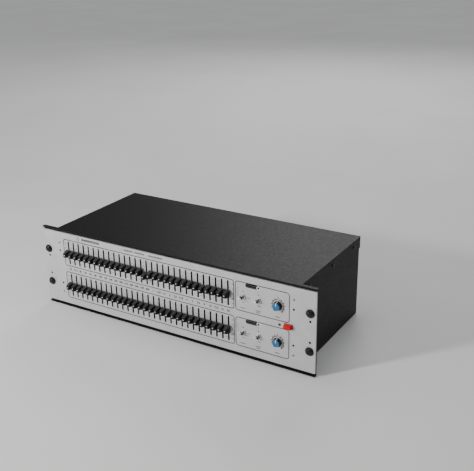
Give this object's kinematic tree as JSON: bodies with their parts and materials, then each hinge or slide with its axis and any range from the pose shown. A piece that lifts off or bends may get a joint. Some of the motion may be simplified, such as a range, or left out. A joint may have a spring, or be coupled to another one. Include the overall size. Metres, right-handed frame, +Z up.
{
  "type": "graphic equalizer",
  "caption": "Rack-mount graphic equalizer: rows of slide faders on a silver front panel, with gain knobs, toggle switches and a power button, on a folded steel chassis.",
  "frame": {"origin": "centre of the bounding box in plan, on the lowest plane of the front panel and chassis", "axes": "front panel faces -Y, the viewer's right is +X, up is +Z"},
  "size_m": [0.4826, 0.2196, 0.1325],
  "materials": {
    "silver_fascia": "satin paint, silver grey",
    "black_steel": "fine textured black powder coat",
    "cap_plastic": "moulded charcoal plastic",
    "knob_blue": "satin, blue cap on a dark body",
    "chrome": "polished plate",
    "button_red": "glossy red",
    "board_green": "solder mask",
    "winding": "taped winding over an iron core",
    "inlet_black": "moulded",
    "socket_metal": "nickel-look shells",
    "screw_black": "glossy black oxide"
  },
  "bodies": {
    "equalizer": {"front_fascia": "silver_fascia", "chassis": "black_steel", "top_cover": "black_steel", "fader_board": "board_green", "control_board": "board_green", "main_board": "board_green", "power_transformer": "winding", "mains_inlet": "inlet_black", "audio_connectors": "socket_metal", "rack_screw_top_left": "screw_black", "rack_screw_bottom_left": "screw_black", "rack_screw_top_right": "screw_black", "rack_screw_bottom_right": "screw_black"},
    "power_button": {"power_button": "button_red"},
    "gain_knob_1": {"gain_knob_1": "knob_blue"},
    "gain_knob_2": {"gain_knob_2": "knob_blue"},
    "filter_toggle_1": {"filter_toggle_1": "chrome"},
    "eq_toggle_1": {"eq_toggle_1": "chrome"},
    "filter_toggle_2": {"filter_toggle_2": "chrome"},
    "eq_toggle_2": {"eq_toggle_2": "chrome"},
    "faders_2_25_40": {"faders_2_25_40": "cap_plastic"},
    "faders_2_50_80": {"faders_2_50_80": "cap_plastic"},
    "faders_2_100_160": {"faders_2_100_160": "cap_plastic"},
    "faders_2_200_315": {"faders_2_200_315": "cap_plastic"},
    "faders_2_400_630": {"faders_2_400_630": "cap_plastic"},
    "faders_2_800_1k25": {"faders_2_800_1k25": "cap_plastic"},
    "faders_2_1k6_2k5": {"faders_2_1k6_2k5": "cap_plastic"},
    "faders_2_3k15_5k": {"faders_2_3k15_5k": "cap_plastic"},
    "faders_2_6k3_10k": {"faders_2_6k3_10k": "cap_plastic"},
    "faders_2_12k5_20k": {"faders_2_12k5_20k": "cap_plastic"},
    "fader_1_25": {"fader_1_25": "cap_plastic"},
    "fader_1_31": {"fader_1_31": "cap_plastic"},
    "fader_1_40": {"fader_1_40": "cap_plastic"},
    "fader_1_50": {"fader_1_50": "cap_plastic"},
    "fader_1_63": {"fader_1_63": "cap_plastic"},
    "fader_1_80": {"fader_1_80": "cap_plastic"},
    "fader_1_100": {"fader_1_100": "cap_plastic"},
    "fader_1_125": {"fader_1_125": "cap_plastic"},
    "fader_1_160": {"fader_1_160": "cap_plastic"},
    "fader_1_200": {"fader_1_200": "cap_plastic"},
    "fader_1_250": {"fader_1_250": "cap_plastic"},
    "fader_1_315": {"fader_1_315": "cap_plastic"},
    "fader_1_400": {"fader_1_400": "cap_plastic"},
    "fader_1_500": {"fader_1_500": "cap_plastic"},
    "fader_1_630": {"fader_1_630": "cap_plastic"},
    "fader_1_800": {"fader_1_800": "cap_plastic"},
    "fader_1_1k": {"fader_1_1k": "cap_plastic"},
    "fader_1_1k25": {"fader_1_1k25": "cap_plastic"},
    "fader_1_1k6": {"fader_1_1k6": "cap_plastic"},
    "fader_1_2k": {"fader_1_2k": "cap_plastic"},
    "fader_1_2k5": {"fader_1_2k5": "cap_plastic"},
    "fader_1_3k15": {"fader_1_3k15": "cap_plastic"},
    "fader_1_4k": {"fader_1_4k": "cap_plastic"},
    "fader_1_5k": {"fader_1_5k": "cap_plastic"},
    "fader_1_6k3": {"fader_1_6k3": "cap_plastic"},
    "fader_1_8k": {"fader_1_8k": "cap_plastic"},
    "fader_1_10k": {"fader_1_10k": "cap_plastic"},
    "fader_1_12k5": {"fader_1_12k5": "cap_plastic"},
    "fader_1_16k": {"fader_1_16k": "cap_plastic"},
    "fader_1_20k": {"fader_1_20k": "cap_plastic"}
  },
  "joints": [
    {"name": "power_button_slide", "type": "slide", "parent": "equalizer", "child": "power_button", "axis": [0, 1, 0], "range_m": [0, 0.003], "stiffness_N_per_m": 300, "springref_m": -0.002},
    {"name": "gain_knob_1_turn", "type": "hinge", "parent": "equalizer", "child": "gain_knob_1", "pos_m": [0.184, -0.0986, 0.0948], "axis": [0, 1, 0], "range_deg": [-150, 150]},
    {"name": "gain_knob_2_turn", "type": "hinge", "parent": "equalizer", "child": "gain_knob_2", "pos_m": [0.184, -0.0986, 0.0389], "axis": [0, 1, 0], "range_deg": [-150, 150]},
    {"name": "filter_toggle_1_turn", "type": "hinge", "parent": "equalizer", "child": "filter_toggle_1", "pos_m": [0.1287, -0.0995, 0.0948], "axis": [1, 0, 0], "range_deg": [-14, 14]},
    {"name": "eq_toggle_1_turn", "type": "hinge", "parent": "equalizer", "child": "eq_toggle_1", "pos_m": [0.1537, -0.0995, 0.0948], "axis": [1, 0, 0], "range_deg": [0, 28]},
    {"name": "filter_toggle_2_turn", "type": "hinge", "parent": "equalizer", "child": "filter_toggle_2", "pos_m": [0.1287, -0.0995, 0.0389], "axis": [1, 0, 0], "range_deg": [0, 28]},
    {"name": "eq_toggle_2_turn", "type": "hinge", "parent": "equalizer", "child": "eq_toggle_2", "pos_m": [0.1537, -0.0995, 0.0389], "axis": [1, 0, 0], "range_deg": [0, 28]},
    {"name": "faders_2_25_40_slide", "type": "slide", "parent": "equalizer", "child": "faders_2_25_40", "axis": [0, 0, 1], "range_m": [-0.015, 0.015]},
    {"name": "faders_2_50_80_slide", "type": "slide", "parent": "equalizer", "child": "faders_2_50_80", "axis": [0, 0, 1], "range_m": [-0.015, 0.015]},
    {"name": "faders_2_100_160_slide", "type": "slide", "parent": "equalizer", "child": "faders_2_100_160", "axis": [0, 0, 1], "range_m": [-0.015, 0.015]},
    {"name": "faders_2_200_315_slide", "type": "slide", "parent": "equalizer", "child": "faders_2_200_315", "axis": [0, 0, 1], "range_m": [-0.015, 0.015]},
    {"name": "faders_2_400_630_slide", "type": "slide", "parent": "equalizer", "child": "faders_2_400_630", "axis": [0, 0, 1], "range_m": [-0.015, 0.015]},
    {"name": "faders_2_800_1k25_slide", "type": "slide", "parent": "equalizer", "child": "faders_2_800_1k25", "axis": [0, 0, 1], "range_m": [-0.015, 0.015]},
    {"name": "faders_2_1k6_2k5_slide", "type": "slide", "parent": "equalizer", "child": "faders_2_1k6_2k5", "axis": [0, 0, 1], "range_m": [-0.015, 0.015]},
    {"name": "faders_2_3k15_5k_slide", "type": "slide", "parent": "equalizer", "child": "faders_2_3k15_5k", "axis": [0, 0, 1], "range_m": [-0.015, 0.015]},
    {"name": "faders_2_6k3_10k_slide", "type": "slide", "parent": "equalizer", "child": "faders_2_6k3_10k", "axis": [0, 0, 1], "range_m": [-0.015, 0.015]},
    {"name": "faders_2_12k5_20k_slide", "type": "slide", "parent": "equalizer", "child": "faders_2_12k5_20k", "axis": [0, 0, 1], "range_m": [-0.015, 0.015]},
    {"name": "fader_1_25_slide", "type": "slide", "parent": "equalizer", "child": "fader_1_25", "axis": [0, 0, 1], "range_m": [-0.015, 0.015]},
    {"name": "fader_1_31_slide", "type": "slide", "parent": "equalizer", "child": "fader_1_31", "axis": [0, 0, 1], "range_m": [-0.015, 0.015]},
    {"name": "fader_1_40_slide", "type": "slide", "parent": "equalizer", "child": "fader_1_40", "axis": [0, 0, 1], "range_m": [-0.015, 0.015]},
    {"name": "fader_1_50_slide", "type": "slide", "parent": "equalizer", "child": "fader_1_50", "axis": [0, 0, 1], "range_m": [-0.015, 0.015]},
    {"name": "fader_1_63_slide", "type": "slide", "parent": "equalizer", "child": "fader_1_63", "axis": [0, 0, 1], "range_m": [-0.015, 0.015]},
    {"name": "fader_1_80_slide", "type": "slide", "parent": "equalizer", "child": "fader_1_80", "axis": [0, 0, 1], "range_m": [-0.015, 0.015]},
    {"name": "fader_1_100_slide", "type": "slide", "parent": "equalizer", "child": "fader_1_100", "axis": [0, 0, 1], "range_m": [-0.015, 0.015]},
    {"name": "fader_1_125_slide", "type": "slide", "parent": "equalizer", "child": "fader_1_125", "axis": [0, 0, 1], "range_m": [-0.015, 0.015]},
    {"name": "fader_1_160_slide", "type": "slide", "parent": "equalizer", "child": "fader_1_160", "axis": [0, 0, 1], "range_m": [-0.015, 0.015]},
    {"name": "fader_1_200_slide", "type": "slide", "parent": "equalizer", "child": "fader_1_200", "axis": [0, 0, 1], "range_m": [-0.015, 0.015]},
    {"name": "fader_1_250_slide", "type": "slide", "parent": "equalizer", "child": "fader_1_250", "axis": [0, 0, 1], "range_m": [-0.015, 0.015]},
    {"name": "fader_1_315_slide", "type": "slide", "parent": "equalizer", "child": "fader_1_315", "axis": [0, 0, 1], "range_m": [-0.015, 0.015]},
    {"name": "fader_1_400_slide", "type": "slide", "parent": "equalizer", "child": "fader_1_400", "axis": [0, 0, 1], "range_m": [-0.015, 0.015]},
    {"name": "fader_1_500_slide", "type": "slide", "parent": "equalizer", "child": "fader_1_500", "axis": [0, 0, 1], "range_m": [-0.015, 0.015]},
    {"name": "fader_1_630_slide", "type": "slide", "parent": "equalizer", "child": "fader_1_630", "axis": [0, 0, 1], "range_m": [-0.015, 0.015]},
    {"name": "fader_1_800_slide", "type": "slide", "parent": "equalizer", "child": "fader_1_800", "axis": [0, 0, 1], "range_m": [-0.0112, 0.0188]},
    {"name": "fader_1_1k_slide", "type": "slide", "parent": "equalizer", "child": "fader_1_1k", "axis": [0, 0, 1], "range_m": [-0.015, 0.015]},
    {"name": "fader_1_1k25_slide", "type": "slide", "parent": "equalizer", "child": "fader_1_1k25", "axis": [0, 0, 1], "range_m": [-0.015, 0.015]},
    {"name": "fader_1_1k6_slide", "type": "slide", "parent": "equalizer", "child": "fader_1_1k6", "axis": [0, 0, 1], "range_m": [-0.015, 0.015]},
    {"name": "fader_1_2k_slide", "type": "slide", "parent": "equalizer", "child": "fader_1_2k", "axis": [0, 0, 1], "range_m": [-0.015, 0.015]},
    {"name": "fader_1_2k5_slide", "type": "slide", "parent": "equalizer", "child": "fader_1_2k5", "axis": [0, 0, 1], "range_m": [-0.015, 0.015]},
    {"name": "fader_1_3k15_slide", "type": "slide", "parent": "equalizer", "child": "fader_1_3k15", "axis": [0, 0, 1], "range_m": [-0.015, 0.015]},
    {"name": "fader_1_4k_slide", "type": "slide", "parent": "equalizer", "child": "fader_1_4k", "axis": [0, 0, 1], "range_m": [-0.015, 0.015]},
    {"name": "fader_1_5k_slide", "type": "slide", "parent": "equalizer", "child": "fader_1_5k", "axis": [0, 0, 1], "range_m": [-0.015, 0.015]},
    {"name": "fader_1_6k3_slide", "type": "slide", "parent": "equalizer", "child": "fader_1_6k3", "axis": [0, 0, 1], "range_m": [-0.015, 0.015]},
    {"name": "fader_1_8k_slide", "type": "slide", "parent": "equalizer", "child": "fader_1_8k", "axis": [0, 0, 1], "range_m": [-0.0133, 0.0167]},
    {"name": "fader_1_10k_slide", "type": "slide", "parent": "equalizer", "child": "fader_1_10k", "axis": [0, 0, 1], "range_m": [-0.015, 0.015]},
    {"name": "fader_1_12k5_slide", "type": "slide", "parent": "equalizer", "child": "fader_1_12k5", "axis": [0, 0, 1], "range_m": [-0.015, 0.015]},
    {"name": "fader_1_16k_slide", "type": "slide", "parent": "equalizer", "child": "fader_1_16k", "axis": [0, 0, 1], "range_m": [-0.015, 0.015]},
    {"name": "fader_1_20k_slide", "type": "slide", "parent": "equalizer", "child": "fader_1_20k", "axis": [0, 0, 1], "range_m": [-0.015, 0.015]}
  ]
}
